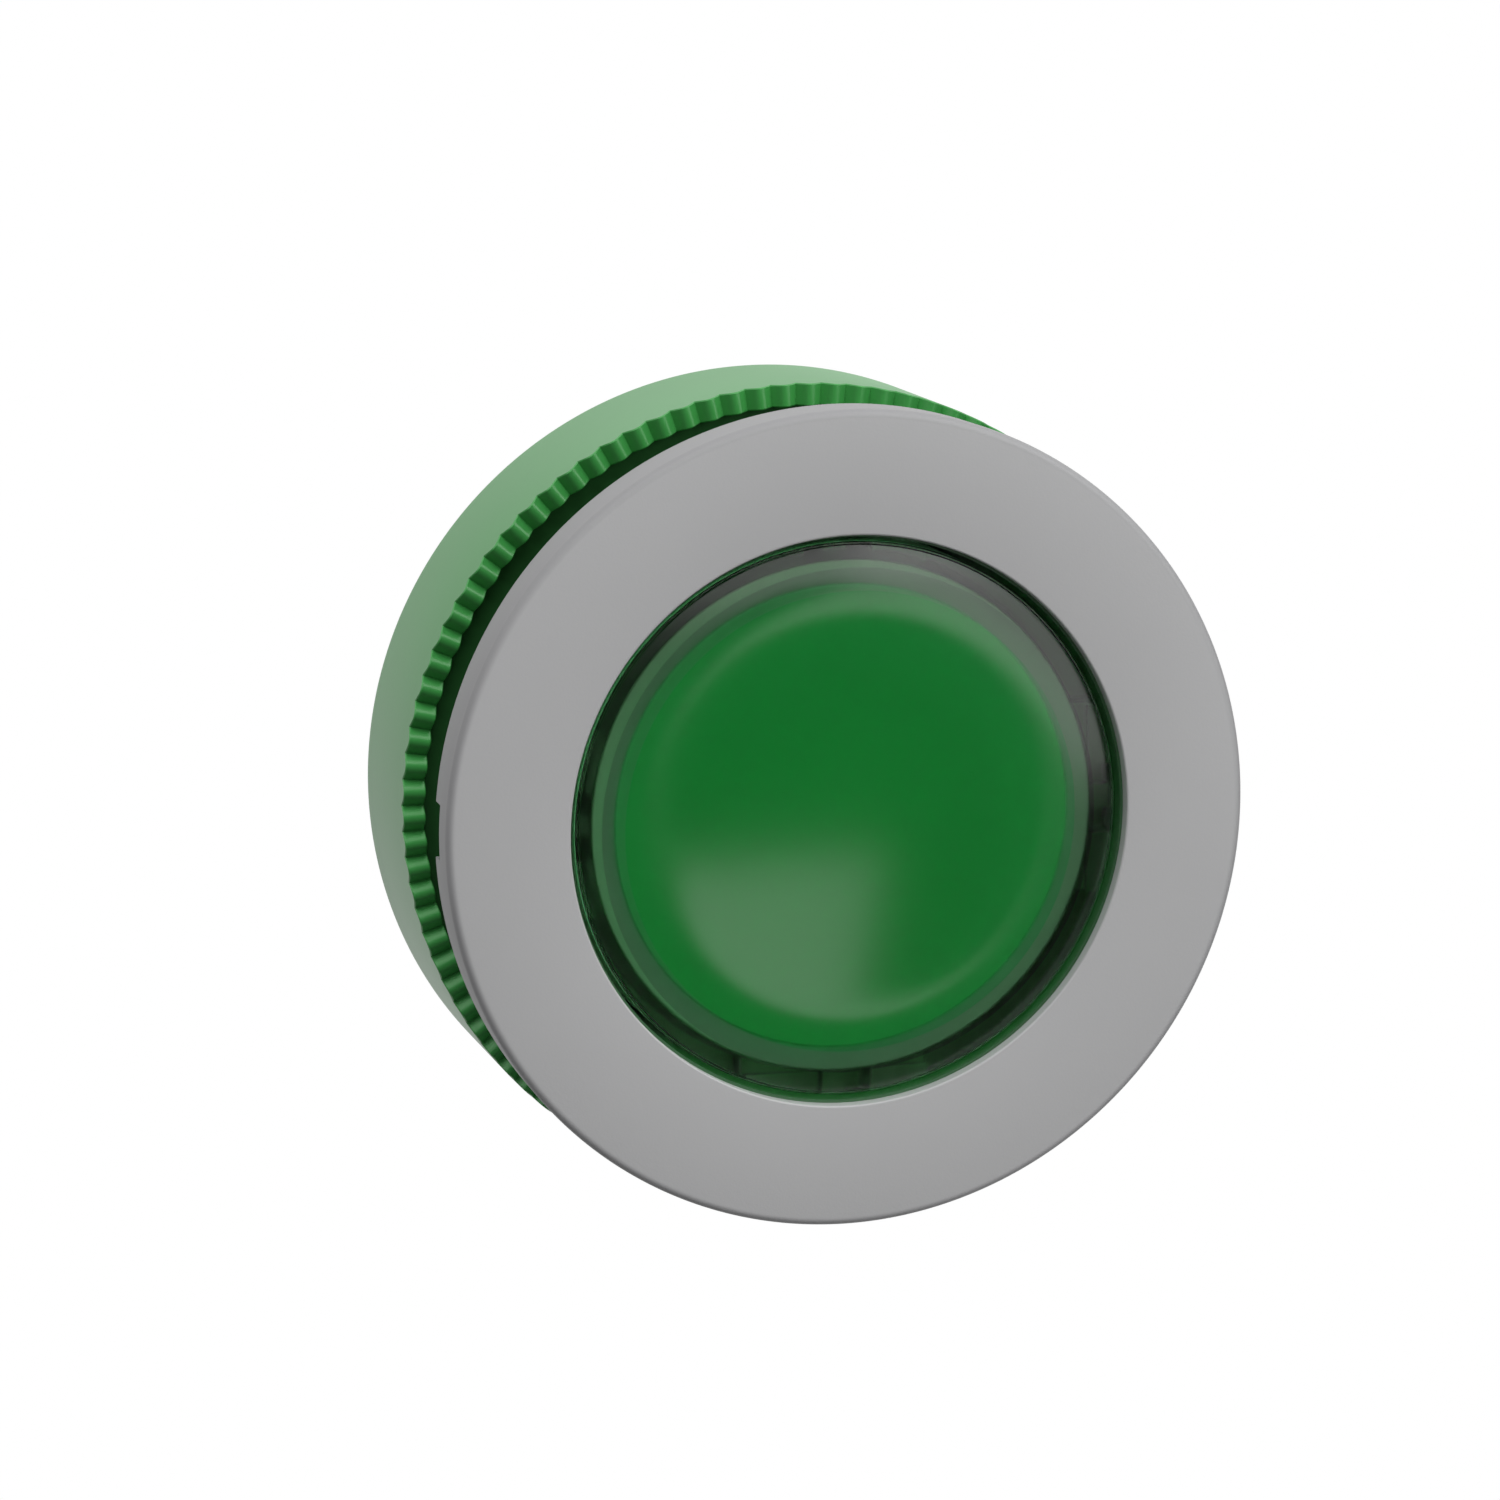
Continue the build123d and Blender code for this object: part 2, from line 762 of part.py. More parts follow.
def tab_slot(x, y, width, low, high):
    """Slot that lets a tab through, a fitting gap wider all round."""
    half = width / 2 + fit_gap
    depth = strip_thickness / 2 + fit_gap
    return block((x - half, x + half), (y - depth, y + depth), (low, high))


def fixed_contact(x, side, strip_front, tip_side):
    """Arm with a silver tip, riser along the housing's wall and terminal tab, in one strip."""
    strip_back = strip_front - strip_thickness
    tip_face = strip_front if tip_side > 0 else strip_back
    across = (x - strip_width / 2, x + strip_width / 2)
    arm = block(across, (side * (tip_offset - tip_radius), side * strip_reach), (strip_back, strip_front))
    riser_side = (side * (strip_reach - strip_thickness), side * strip_reach)
    riser = block(across, riser_side, (housing_end, strip_front))
    tip = Cylinder(tip_radius, tip_height)
    tip = Pos(x, side * tip_offset, tip_face + tip_side * tip_height / 2) * tip
    return arm + riser + tip + tab(x, side * riser_offset, housing_end, tab_width)


# Fixed contacts, lamp post and lamp tabs, with their slots in the plate
post_front = board_back - fit_gap
post_ceiling = post_front - lamp_post_wall
lamp_post = turned(
    (post_bore_radius, housing_end, 0),
    (lamp_post_radius, housing_end, 0),
    (lamp_post_radius, post_front, lamp_post_round),
    (0, post_front, 0),
    (0, post_ceiling, 0),
    (post_bore_radius, post_ceiling, lamp_post_round),
)
strips = {}
slot_back = plate_back - plate_thickness
slot_front = housing_end + plate_thickness
for label, side in (("lower", -1), ("upper", 1)):
    no_front = housing_end + strip_thickness
    strips["fixed_contact_no_" + label] = fixed_contact(contact_offset, side, no_front, 1)
    strips["fixed_contact_nc_" + label] = fixed_contact(-contact_offset, side, nc_strip_front, -1)
    for x in (-contact_offset, contact_offset):
        terminal_plate -= tab_slot(x, side * riser_offset, tab_width, slot_back, slot_front)
    lamp_y = side * lamp_tab_offset
    strips["lamp_tab_" + label] = tab(0, lamp_y, board_back - touch_gap, lamp_tab_width)
    terminal_plate -= tab_slot(0, lamp_y, lamp_tab_width, slot_back, slot_front)
    lamp_post -= tab_slot(0, lamp_y, lamp_tab_width, post_ceiling - lamp_post_wall, board_back)

# Lamp: circuit board on the post with a domed light-emitting diode
lamp_board = rod(lamp_post_radius, board_back, board_front)
led_top = board_front + led_body_height
led_rim_radius = led_radius + led_rim_reach
led_dome = Sphere(led_radius) & rod(2 * led_radius, 0, led_radius)
lamp_led = turned(
    (0, board_front, 0),
    (led_rim_radius, board_front, 0),
    (led_rim_radius, board_front + led_rim_height, led_rim_round),
    (led_radius, board_front + led_rim_height, 0),
    (led_radius, led_top, 0),
    (0, led_top, 0),
)
lamp_led += Pos(0, 0, led_top) * led_dome

# Plate screws with a driver slot
head_back = plate_back + screw_head_sink
head_front = plate_back + screw_head_height
thread_radius = screw_radius - fit_gap
plate_screws = []
for side in (-1, 1):
    screw = turned(
        (0, head_back, 0),
        (screw_head_radius, head_back, screw_head_round),
        (screw_head_radius, head_front, 0),
        (thread_radius, head_front, 0),
        (thread_radius, head_front + screw_length - screw_point, 0),
        (0, head_front + screw_length, 0),
    )
    screw -= block(
        (-screw_head_radius, screw_head_radius),
        (-driver_slot_width / 2, driver_slot_width / 2),
        (plate_back, head_back + driver_slot_depth),
    )
    plate_screws.append(Pos(0, side * screw_offset, 0) * screw)

pieces = {
    "bezel_ring": bezel_ring,
    "panel_gasket": panel_gasket,
    "barrel": barrel,
    "fixing_nut": fixing_nut,
    "lens_cap": lens_cap,
    "diffuser": diffuser,
    "lens_carrier": lens_carrier,
    "pusher_seal": pusher_seal,
    "spring_washer": spring_washer,
    "return_spring": return_spring,
    "retaining_clip": retaining_clip,
    "contact_yoke": contact_yoke,
    "contact_bridge_no": contact_bridge_no,
    "contact_bridge_nc": contact_bridge_nc,
    "contact_spring_no": contact_spring_no,
    "contact_spring_nc": contact_spring_nc,
    "contact_housing": contact_housing,
    "housing_seal": housing_seal,
    "terminal_plate": terminal_plate,
    "lamp_post": lamp_post,
    "lamp_board": lamp_board,
    "lamp_led": lamp_led,
    "plate_screws": Compound(plate_screws),
    **strips,
}

os.makedirs("parts", exist_ok=True)
for name, piece in pieces.items():
    export_step(Rot(90, 0, 0) * piece, f"parts/{name}.step")
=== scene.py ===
from math import cos, pi, radians, sin

import bmesh
import bpy
import numpy as np
from mathutils import Matrix


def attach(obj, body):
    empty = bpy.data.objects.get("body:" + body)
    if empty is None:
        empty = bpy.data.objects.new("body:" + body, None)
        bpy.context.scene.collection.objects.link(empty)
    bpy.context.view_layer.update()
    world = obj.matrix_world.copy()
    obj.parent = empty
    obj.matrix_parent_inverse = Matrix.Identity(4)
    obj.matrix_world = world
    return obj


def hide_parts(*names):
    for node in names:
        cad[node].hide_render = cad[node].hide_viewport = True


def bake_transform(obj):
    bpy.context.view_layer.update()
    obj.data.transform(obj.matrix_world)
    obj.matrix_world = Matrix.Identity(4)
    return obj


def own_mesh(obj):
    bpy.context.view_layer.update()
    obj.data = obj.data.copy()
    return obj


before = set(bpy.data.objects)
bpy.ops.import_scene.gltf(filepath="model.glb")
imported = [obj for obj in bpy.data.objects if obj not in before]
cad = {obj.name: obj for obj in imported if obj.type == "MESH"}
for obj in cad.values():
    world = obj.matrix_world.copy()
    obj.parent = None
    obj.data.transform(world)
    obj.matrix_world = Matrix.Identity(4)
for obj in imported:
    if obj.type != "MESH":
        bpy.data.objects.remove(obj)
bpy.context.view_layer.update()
MM = 0.001


# View. The camera stands where the photograph's ellipses put it: to the left of the button,
# a little above it and 0.22 m away, with a long lens. Lengths here are in millimetres.
def facing(azimuth, elevation):
    """Right, up and back of an object that looks at the button from a direction in degrees,
    with the azimuth counted from the front."""
    a, e = radians(azimuth), radians(elevation)
    back = np.array([sin(a) * cos(e), -cos(a) * cos(e), sin(e)])
    right = np.array([cos(a), sin(a), 0.0])
    return right, np.cross(back, right), back


def stand(thing, axes, place):
    """Turns an object to its three axes and puts it at a place in metres."""
    placed = np.eye(4)
    placed[:3, :3] = np.stack(axes, axis=-1)
    placed[:3, 3] = place
    thing.matrix_world = Matrix(placed.tolist())


view_azimuth = -16.1
view_elevation = 11.0
view_distance = 222.6
view_shift_right = 4.425
view_shift_down = 3.15
bezel_middle_depth = -2.75
camera_data = bpy.data.cameras.new("camera")
camera_data.sensor_width = 36.0
camera_data.lens = 120.0
camera_data.clip_start = 0.01
camera_data.clip_end = 50.0
camera = bpy.data.objects.new("camera", camera_data)
bpy.context.scene.collection.objects.link(camera)
bpy.context.scene.camera = camera
view_right, view_up, view_back = facing(view_azimuth, view_elevation)
view_place = np.array([0.0, bezel_middle_depth, 0.0]) + view_back * view_distance
view_place = view_place - view_right * view_shift_right + view_up * view_shift_down
stand(camera, (view_right, view_up, view_back), view_place * MM)


# Light. A pale room behind and above, a dark one in front, and a large bright window at the
# front right, which is what the lens mirrors. Three soft boxes give the form, at a plain level.
scene = bpy.context.scene
scene.view_settings.view_transform = "Standard"


def wire(tree, kind, inputs=(), **settings):
    """Adds a shader node, sets its settings and its inputs; an input that is a socket is linked."""
    made = tree.nodes.new(kind)
    for name, value in settings.items():
        setattr(made, name, value)
    for key, value in dict(inputs).items():
        if isinstance(value, bpy.types.NodeSocket):
            tree.links.new(value, made.inputs[key])
        else:
            made.inputs[key].default_value = value
    return made


def ramp(tree, value, start, end, low=0.0, high=1.0):
    """Value carried smoothly from low to high as the input goes from start to end."""
    ranges = {0: value, 1: start, 2: end, 3: low, 4: high}
    return wire(tree, "ShaderNodeMapRange", ranges, interpolation_type="SMOOTHSTEP").outputs[0]


def combine(tree, operation, a, b):
    """Two values combined by one operation, such as the larger, the sum or the product."""
    return wire(tree, "ShaderNodeMath", {0: a, 1: b}, operation=operation).outputs[0]


world = bpy.data.worlds.new("studio")
scene.world = world
world.use_nodes = True
sky = world.node_tree
sky.nodes.clear()
looking = wire(sky, "ShaderNodeTexCoord").outputs["Generated"]
aim = wire(sky, "ShaderNodeSeparateXYZ", {0: looking})
# Each part of the room is a soft step along the Y or Z of the direction that one looks in.
room_behind = ramp(sky, aim.outputs["Y"], -0.05, 0.3, 0.02, 0.7)
room_above = ramp(sky, aim.outputs["Z"], 0.25, 0.4, 0.0, 1.5)
window_inward = (0.953, 0.236, -0.19)
window_plane = wire(sky, "ShaderNodeVectorMath", {0: looking, 1: window_inward}, operation="DOT_PRODUCT")
window_side = ramp(sky, window_plane.outputs["Value"], -0.04, 0.04)
window_sill = ramp(sky, aim.outputs["Z"], -0.165, -0.1)
window_front = ramp(sky, aim.outputs["Y"], 0.0, -0.15, 0.0, 1.6)
window_shape = combine(sky, "MULTIPLY", window_side, window_sill)
window = combine(sky, "MULTIPLY", window_shape, window_front)
room_front = combine(sky, "ADD", room_above, window)
room_mirrored = combine(sky, "MAXIMUM", room_behind, room_front)
rays = wire(sky, "ShaderNodeLightPath")
mirrored = combine(sky, "MAXIMUM", rays.outputs["Is Glossy Ray"], rays.outputs["Is Transmission Ray"])
room_soft = wire(sky, "ShaderNodeMix", {0: mirrored, 2: 0.3, 3: room_mirrored})
backdrop = {0: rays.outputs["Is Camera Ray"], 2: room_soft.outputs[0], 3: 1.0}
room_seen = wire(sky, "ShaderNodeMix", backdrop)
room_light = wire(sky, "ShaderNodeBackground", {"Color": (1, 1, 1, 1), "Strength": room_seen.outputs[0]})
wire(sky, "ShaderNodeOutputWorld", {"Surface": room_light.outputs[0]})

soft_box_distance = 0.9
for name, azimuth, elevation, width, height, power in (
    ("soft_box_right", 44.0, 18.0, 0.6, 0.6, 4.4),
    ("soft_box_top", -20.0, 62.0, 0.7, 0.5, 6.4),
    ("soft_box_left", -105.0, -25.0, 0.8, 0.8, 2.5),
):
    lamp_data = bpy.data.lights.new(name, "AREA")
    lamp_data.shape = "RECTANGLE"
    lamp_data.size = width
    lamp_data.size_y = height
    lamp_data.energy = power
    lamp = bpy.data.objects.new(name, lamp_data)
    scene.collection.objects.link(lamp)
    lamp_axes = facing(azimuth, elevation)
    stand(lamp, lamp_axes, lamp_axes[2] * soft_box_distance)
    lamp.visible_camera = False
    lamp.visible_glossy = False
    lamp.visible_transmission = False


# Floor. Plain, pale and well below the button, which its panel would hold in the air. The
# camera sees it as white, and the button is lit by it as by a grey one.
floor_level = -0.14
floor_reach = 6.0
floor_mesh = bpy.data.meshes.new("floor")
floor_signs = ((-1, -1), (1, -1), (1, 1), (-1, 1))
floor_corners = [(x * floor_reach, y * floor_reach, floor_level) for x, y in floor_signs]
floor_mesh.from_pydata(floor_corners, [], [(0, 1, 2, 3)])
floor = bpy.data.objects.new("floor", floor_mesh)
scene.collection.objects.link(floor)
floor_look = bpy.data.materials.new("floor_pale")
floor_look.use_nodes = True
paint = floor_look.node_tree
paint.nodes.clear()
floor_rays = wire(paint, "ShaderNodeLightPath")
floor_matt = wire(paint, "ShaderNodeBsdfDiffuse", {"Color": (0.3, 0.3, 0.3, 1)})
floor_glow = wire(paint, "ShaderNodeEmission", {"Color": (1, 1, 1, 1), "Strength": 1.0})
floor_mix = wire(
    paint,
    "ShaderNodeMixShader",
    {0: floor_rays.outputs["Is Camera Ray"], 1: floor_matt.outputs[0], 2: floor_glow.outputs[0]},
)
wire(paint, "ShaderNodeOutputMaterial", {"Surface": floor_mix.outputs[0]})
floor_mesh.materials.append(floor_look)
floor.visible_glossy = False


# Bezel ring. Turned aluminium with a flat blasted face, rounded edges and a rim that drops
# over the barrel's flange; a small notch at the left lets a blade lift it off.
def outline(*corners, steps=7):
    """Closed outline in radius and depth, in millimetres. Each corner is radius, depth and round:
    the round is the arc that touches both sides, swept in equal turns about its centre."""
    bends = []
    for index, (radius, depth, bend) in enumerate(corners):
        here = np.array([radius, depth])
        if bend == 0:
            bends.append(here[None])
            continue
        to_last = np.array(corners[index - 1][:2]) - here
        to_next = np.array(corners[(index + 1) % len(corners)][:2]) - here
        to_last /= np.linalg.norm(to_last)
        to_next /= np.linalg.norm(to_next)
        half = np.arccos(np.clip(to_last @ to_next, -1, 1)) / 2
        middle = to_last + to_next
        centre = here + middle / np.linalg.norm(middle) * bend / np.sin(half)
        start = here + to_last * bend / np.tan(half) - centre
        end = here + to_next * bend / np.tan(half) - centre
        turn = np.arccos(np.clip(start @ end / bend**2, -1, 1))
        share = np.linspace(0, 1, steps)[:, None]
        arc = (np.sin((1 - share) * turn) * start + np.sin(share * turn) * end) / np.sin(turn)
        bends.append(centre + arc)
    return np.concatenate(bends)


def mesh_of(name, points, faces):
    """Mesh object from points in millimetres; doubles are merged and the normals made to face out."""
    mesh = bpy.data.meshes.new(name)
    mesh.from_pydata((points.reshape(-1, 3) * MM).tolist(), [], faces.tolist())
    built = bmesh.new()
    built.from_mesh(mesh)
    bmesh.ops.remove_doubles(built, verts=built.verts, dist=1e-7)
    bmesh.ops.dissolve_degenerate(built, edges=built.edges, dist=1e-8)
    bmesh.ops.recalc_face_normals(built, faces=built.faces)
    built.to_mesh(mesh)
    built.free()
    made = bpy.data.objects.new(name, mesh)
    scene.collection.objects.link(made)
    return made


def smooth(piece, angle=32.0):
    """Smooth shading, with edges sharper than the angle kept crisp."""
    piece.data.polygons.foreach_set("use_smooth", np.ones(len(piece.data.polygons), bool))
    piece.data.set_sharp_from_angle(angle=radians(angle))


def grid_faces(rows, columns):
    """Four-sided faces over a grid that closes on itself in both directions."""
    row, column = np.meshgrid(np.arange(rows), np.arange(columns), indexing="ij")
    next_row, next_column = (row + 1) % rows, (column + 1) % columns
    corners = (row, column), (row, next_column), (next_row, next_column), (next_row, column)
    return np.stack([r * columns + c for r, c in corners], axis=-1).reshape(-1, 4)


def turned(name, section, columns=240, start=0.0):
    """Surface turned about the button's axis. section is one outline, or one for each column;
    a point at radius r and depth d goes to (r sin t, d, r cos t) for the column's angle t."""
    sections = np.broadcast_to(section, (columns, *np.shape(section)[-2:]))
    angles = start + np.arange(columns) * 2 * pi / columns
    radius, depth = sections[..., 0].T, sections[..., 1].T
    points = np.stack([radius * np.sin(angles), depth, radius * np.cos(angles)], axis=-1)
    return mesh_of(name, points, grid_faces(radius.shape[0], columns))


def bar(name, x, y, z, turn):
    """Rectangular cutter between two limits along each axis, turned about the button's axis."""
    corners = np.array([(i, j, k) for i in x for j in y for k in z], float)
    c, s = cos(radians(turn)), sin(radians(turn))
    corners = corners @ np.array([[c, 0, s], [0, 1, 0], [-s, 0, c]])
    sides = [(0, 1, 3, 2), (4, 6, 7, 5), (0, 4, 5, 1), (2, 3, 7, 6), (0, 2, 6, 4), (1, 5, 7, 3)]
    return mesh_of(name, corners, np.array(sides))


def carve(piece, cutters):
    """Cuts the cutters out of a piece and leaves one clean mesh."""
    for cutter in cutters:
        cut = piece.modifiers.new("carve", "BOOLEAN")
        cut.operation = "DIFFERENCE"
        cut.object = cutter
        cut.solver = "EXACT"
    ready = piece.evaluated_get(bpy.context.evaluated_depsgraph_get())
    carved = bpy.data.meshes.new_from_object(ready)
    piece.modifiers.clear()
    piece.data = carved
    for cutter in cutters:
        bpy.data.objects.remove(cutter)


def dress(piece, body, nodes, look):
    """Finishes a new piece: shading, material, the body it rides on and the CAD nodes it stands for."""
    smooth(piece)
    piece.data.materials.clear()
    piece.data.materials.append(look)
    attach(piece, body)
    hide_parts(*nodes)


def surface_look(name, roughness, metallic=0.0, **sockets):
    """Empty material with one Principled shader, and the Object coordinates that its patterns read."""
    look = bpy.data.materials.new(name)
    look.use_nodes = True
    tree = look.node_tree
    shader = tree.nodes["Principled BSDF"]
    shader.inputs["Roughness"].default_value = roughness
    shader.inputs["Metallic"].default_value = metallic
    for socket, value in sockets.items():
        shader.inputs[socket.replace("_", " ")].default_value = value
    place = wire(tree, "ShaderNodeTexCoord").outputs["Object"]
    return look, tree, shader, place


def tinted(tree, share, first, second):
    """Colour that goes from the first to the second with the share; each is a socket or a triple."""
    tints = [tint if isinstance(tint, bpy.types.NodeSocket) else (*tint, 1) for tint in (first, second)]
    return wire(tree, "ShaderNodeMix", {0: share, 6: tints[0], 7: tints[1]}, data_type="RGBA").outputs[2]


def mottle(tree, place, scale, dark, light):
    """Colour that drifts between two close shades in soft patches."""
    cloud = wire(tree, "ShaderNodeTexNoise", {"Vector": place, "Scale": scale, "Detail": 3.0})
    return tinted(tree, cloud.outputs["Fac"], dark, light)


def grain(tree, place, scale, depth):
    """Bump from a fine noise; depth is in metres."""
    height = wire(tree, "ShaderNodeTexNoise", {"Vector": place, "Scale": scale}).outputs["Fac"]
    return wire(tree, "ShaderNodeBump", {"Height": height, "Distance": depth, "Strength": 1.0}).outputs[0]


def axis_distance(tree, place):
    """Distance from the button's axis, in metres."""
    flat = wire(tree, "ShaderNodeVectorMath", {0: place, 1: (1, 0, 1)}, operation="MULTIPLY").outputs[0]
    return wire(tree, "ShaderNodeVectorMath", {0: flat}, operation="LENGTH").outputs["Value"]


def zone(tree, distance, start, end):
    """Share that goes from 0 to 1 between two places, which are given in millimetres."""
    return ramp(tree, distance, start * MM, end * MM)


bezel_radius = 18.5
bezel_face = -3.4
bezel_edge_round = 0.35
opening_radius = 12.92
opening_edge_round = 0.1
collar_radius = 13.55
collar_gap = 0.05
flange_front = -2.1
flange_back = -0.8
lip_back = -2.82
rim_inner_radius = 17.3
rim_draft = 0.05
notch_width = 2.5
notch_depth = 1.0
notch_angle = 179.0
satin_metal, tree, shader, place = surface_look("satin_metal", 0.45)
blasted = mottle(tree, place, 90.0, (0.362, 0.362, 0.366), (0.388, 0.388, 0.392))
# The rim's side is painted a shade darker than the blasted face: painted shade for the lesser light that
# falls on it.
rim_side_painted_shade = mottle(tree, place, 90.0, (0.25, 0.25, 0.255), (0.27, 0.27, 0.275))
side_share = zone(tree, axis_distance(tree, place), 18.05, 18.42)
tree.links.new(tinted(tree, side_share, blasted, rim_side_painted_shade), shader.inputs["Base Color"])
tree.links.new(grain(tree, place, 9000.0, 0.000004), shader.inputs["Normal"])
bezel = turned("bezel_ring_turned", outline(
    (opening_radius, bezel_face, opening_edge_round),
    (bezel_radius, bezel_face, bezel_edge_round),
    (bezel_radius - rim_draft, flange_back, 0.1),
    (rim_inner_radius, flange_back, 0),
    (rim_inner_radius, flange_front, 0),
    (collar_radius + collar_gap, flange_front, 0),
    (collar_radius + collar_gap, lip_back, 0),
    (opening_radius, lip_back, 0),
), columns=360)
pry_notch = bar(
    "pry_notch",
    (rim_inner_radius - 0.7, bezel_radius + 1.0),
    (flange_back - notch_depth, flange_back + 1.0),
    (-notch_width / 2, notch_width / 2),
    notch_angle,
)
carve(bezel, [pry_notch])
dress(bezel, "housing", ["bezel_ring"], satin_metal)


# Fixing nut. Green moulded cup: its front face carries radial V-shaped teeth with rounded
# crests round a recess, its bore a thread, and its outside is plain.
def green_nylon(name, roughness, shade_start, shade_end, painted_shade_tint):
    """Green moulded nylon, with painted shade: a darker tint inwards of two radii in millimetres."""
    look, tree, shader, place = surface_look(name, roughness)
    nylon = mottle(tree, place, 140.0, (0.04, 0.25, 0.053), (0.048, 0.285, 0.063))
    painted_shade_share = zone(tree, axis_distance(tree, place), shade_start, shade_end)
    tree.links.new(tinted(tree, painted_shade_share, nylon, painted_shade_tint), shader.inputs["Base Color"])
    tree.links.new(grain(tree, place, 7000.0, 0.000003), shader.inputs["Normal"])
    return look


nut_front = 4.25
nut_back = 12.8
nut_radius = 18.74
nut_rear_round = 0.8
nut_rear_bore = 17.04
nut_rear_draft = 0.3
nut_recess = 5.2
tooth_count = 98
tooth_height = 0.45
tooth_crest_round = 0.32
tooth_edge = 0.05
tooth_phase = radians(0.885)
teeth_inner = 17.72
teeth_middle = 18.2
columns_per_tooth = 12
barrel_radius = 15.0
thread_pitch = 1.5
thread_height = 0.5
thread_start = 0.125
thread_back = 9.7
thread_fade_length = 0.9
thread_gap = 0.05
bore_chamfer = 0.3
bore_radius = barrel_radius + thread_gap
# The recess inside the teeth is painted darker green, as painted shade under the bezel's rim.
green_moulding = green_nylon("green_moulding", 0.3, 17.71, 17.65, (0.018, 0.085, 0.022))
nut_columns = tooth_count * columns_per_tooth
nut_angles = tooth_phase + np.arange(nut_columns) * 2 * pi / nut_columns
crest_share = np.abs((np.arange(nut_columns) / columns_per_tooth + 0.5) % 1 - 0.5)
crest_across = crest_share * 2 * pi * teeth_middle / tooth_count
crest_bend = tooth_crest_round * sin(pi / 4)
crest_inside = np.minimum(crest_across, crest_bend)
crest_arc = tooth_crest_round - np.sqrt(tooth_crest_round**2 - crest_inside**2)
tooth_drop = crest_arc + np.maximum(crest_across - crest_bend, 0)
tooth_face = nut_front + tooth_drop * tooth_height / tooth_drop.max()
tooth_corners = (
    (teeth_inner, nut_recess),
    (teeth_inner, tooth_face + tooth_edge),
    (teeth_inner + tooth_edge, tooth_face),
    (nut_radius - tooth_edge, tooth_face),
    (nut_radius, tooth_face + tooth_edge),
)
tooth_points = np.stack([
    np.stack(np.broadcast_arrays(radius, depth, tooth_face)[:2], axis=-1)
    for radius, depth in tooth_corners
], axis=1)
nut_outside = outline(
    (nut_radius, nut_recess + 0.2, 0),
    (nut_radius, nut_back, nut_rear_round),
    (nut_rear_bore, nut_back, 0.3),
    (nut_rear_bore - nut_rear_draft, thread_back, 0.6),
    (bore_radius, thread_back, 0.2),
    (bore_radius, nut_recess, 0),
)[:-1]
thread_rows = np.linspace(thread_back - bore_chamfer, nut_recess + bore_chamfer, 28)
thread_turn = (thread_rows[None] - thread_start) / thread_pitch - nut_angles[:, None] / (2 * pi)
thread_wave = np.clip(1.15 - np.abs((thread_turn + 0.5) % 1 - 0.5) * 2.6, 0, 1)
thread_ends = np.minimum(thread_rows - nut_recess, thread_back - thread_rows)
thread_fade = np.clip(thread_ends / thread_fade_length, 0, 1)
nut_thread = np.stack([
    bore_radius - thread_height * thread_wave * thread_fade[None],
    np.broadcast_to(thread_rows, thread_wave.shape),
], axis=-1)
nut_section = np.concatenate([
    tooth_points,
    np.broadcast_to(nut_outside, (nut_columns, *nut_outside.shape)),
    nut_thread,
    np.broadcast_to([[bore_radius + bore_chamfer, nut_recess]], (nut_columns, 1, 2)),
], axis=1)
nut = turned("fixing_nut_moulded", nut_section, columns=nut_columns, start=tooth_phase)
dress(nut, "housing", ["fixing_nut"], green_moulding)


# Lens cap. Clear green polycarbonate: a dished pad that rolls softly into a bevelled edge, and
# a skirt with four snap fingers. The pad's underside and the skirt are frosted, and the tint
# changes from the pad over the diffuser to the rim over the carrier and to the bevel.
lens_top = -2.75
lens_radius = 12.57
lens_ceiling = -1.2
lens_back = 3.35
skirt_radius = 11.45
pad_edge = 10.42
barb_radius = 10.9
barb_front = 2.55
slot_front = 0.15
slot_back = 1.5
finger_front = 1.2
slot_limits = ((-4.15, -1.55), (1.55, 4.15))
slot_inner = 9.0
window_inner = 11.4
window_limits = (-0.525, 0.525)
window_front = 1.0
gap_start = 4.3
gap_front = 2.0
past_edge = 14.0
past_back = 5.0
polished = 0.19
frosted = 0.55
green_lens, tree, shader, place = surface_look("green_lens", polished, IOR=1.58, Transmission_Weight=1.0)
lens_reach = axis_distance(tree, place)
lens_depth = wire(tree, "ShaderNodeSeparateXYZ", {0: place}).outputs["Y"]
rim_share = zone(tree, lens_reach, pad_edge, pad_edge + 0.06)
bevel_share = zone(tree, lens_reach, skirt_radius - 0.05, skirt_radius + 0.05)
pad_share = zone(tree, lens_reach, pad_edge - 0.02, pad_edge - 0.12)
under_share = zone(tree, lens_depth, lens_ceiling - 0.2, lens_ceiling - 0.1)
pad_under = combine(tree, "MULTIPLY", under_share, pad_share)
side_share = zone(tree, lens_depth, lens_top + 0.25, lens_top + 0.35)
skirt_share = combine(tree, "MULTIPLY", side_share, bevel_share)
frosted_share = combine(tree, "MAXIMUM", pad_under, skirt_share)
tree.links.new(ramp(tree, frosted_share, 0.0, 1.0, polished, frosted), shader.inputs["Roughness"])
inner_tint = tinted(tree, rim_share, (0.115, 0.53, 0.224), (0.335, 0.45, 0.36))
lens_tint = tinted(tree, bevel_share, inner_tint, (0.56, 0.98, 0.6))
tree.links.new(lens_tint, shader.inputs["Base Color"])
tree.links.new(grain(tree, place, 260.0, 0.0000015), shader.inputs["Normal"])
lamp_way = wire(tree, "ShaderNodeBsdfTransparent", {"Color": lens_tint})
lens_rays = wire(tree, "ShaderNodeLightPath")
lens_mix = wire(
    tree,
    "ShaderNodeMixShader",
    {0: lens_rays.outputs["Is Shadow Ray"], 1: shader.outputs[0], 2: lamp_way.outputs[0]},
)
tree.links.new(lens_mix.outputs[0], tree.nodes["Material Output"].inputs["Surface"])
